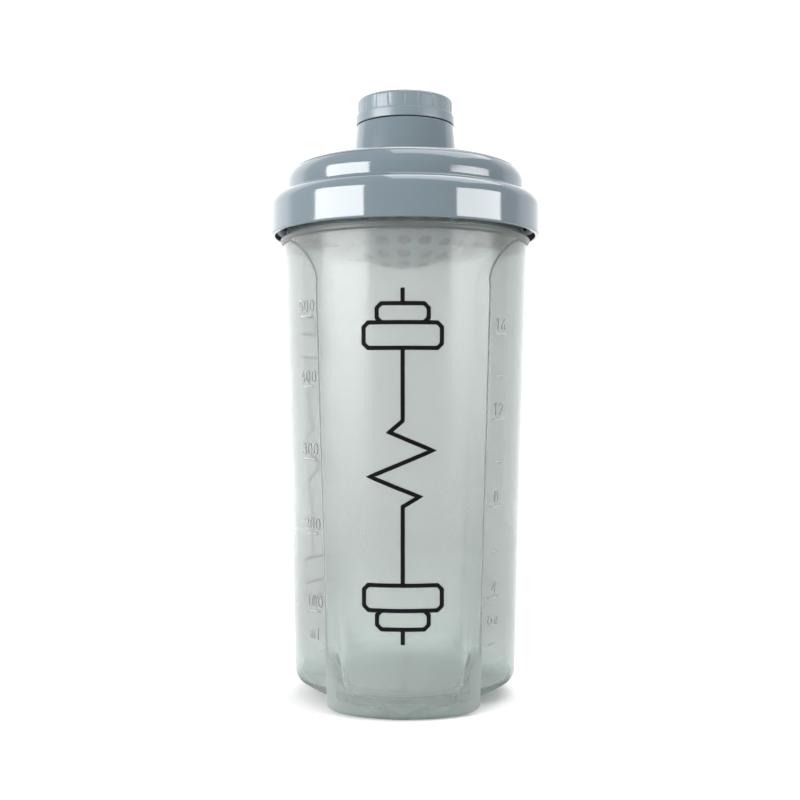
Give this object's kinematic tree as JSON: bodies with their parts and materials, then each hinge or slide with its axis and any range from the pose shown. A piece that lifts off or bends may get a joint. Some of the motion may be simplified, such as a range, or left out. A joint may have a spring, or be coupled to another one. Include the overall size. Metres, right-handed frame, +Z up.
{
  "type": "protein shaker bottle",
  "caption": "Frosted shaker cup with recessed side scales, threaded lid with drinking spout, small screw cap and a perforated sieve bowl.",
  "frame": {"origin": "centre of the foot, on the surface the bottle stands on", "axes": "+Z up along the axis of the bottle, -Y towards the printed front"},
  "size_m": [0.09, 0.09, 0.1984],
  "materials": {
    "cup_frosted": "frosted translucent polypropylene",
    "sieve_plastic": "moulded plastic",
    "lid_gloss": "polished moulded plastic",
    "seal_rubber": "soft silicone",
    "cap_plastic": "satin moulded plastic",
    "ink_black": "screen printed ink"
  },
  "bodies": {
    "cup": {"cup": "cup_frosted", "front_print": "ink_black"},
    "sieve": {"sieve": "sieve_plastic"},
    "lid_seal_body": {"lid_seal": "seal_rubber"},
    "lid": {"lid": "lid_gloss"},
    "cap_seal_body": {"cap_seal": "seal_rubber"},
    "spout_cap": {"spout_cap": "cap_plastic"}
  },
  "joints": [
    {"name": "lid_lift", "type": "slide", "parent": "cup", "child": "lid_seal_body", "axis": [0, 0, 1], "range_m": [0, 0.015]},
    {"name": "lid_turn", "type": "hinge", "parent": "lid_seal_body", "child": "lid", "pos_m": [0, 0, 0.158], "axis": [0, 0, 1], "range_deg": [0, 450]},
    {"name": "sieve_lift", "type": "slide", "parent": "cup", "child": "sieve", "axis": [0, 0, 1], "range_m": [0, 0.0075]},
    {"name": "cap_lift", "type": "slide", "parent": "lid", "child": "cap_seal_body", "axis": [0, 0, 1], "range_m": [0, 0.00937]},
    {"name": "cap_turn", "type": "hinge", "parent": "cap_seal_body", "child": "spout_cap", "pos_m": [0, 0, 0.193], "axis": [0, 0, 1], "range_deg": [0, 450]}
  ],
  "couplings": [
    {"joint": "lid_lift", "follows": "lid_turn", "m_per_rad": 0.0019099},
    {"joint": "sieve_lift", "follows": "lid_turn", "m_per_rad": 0.00095493},
    {"joint": "cap_lift", "follows": "cap_turn", "m_per_rad": 0.0011937}
  ]
}
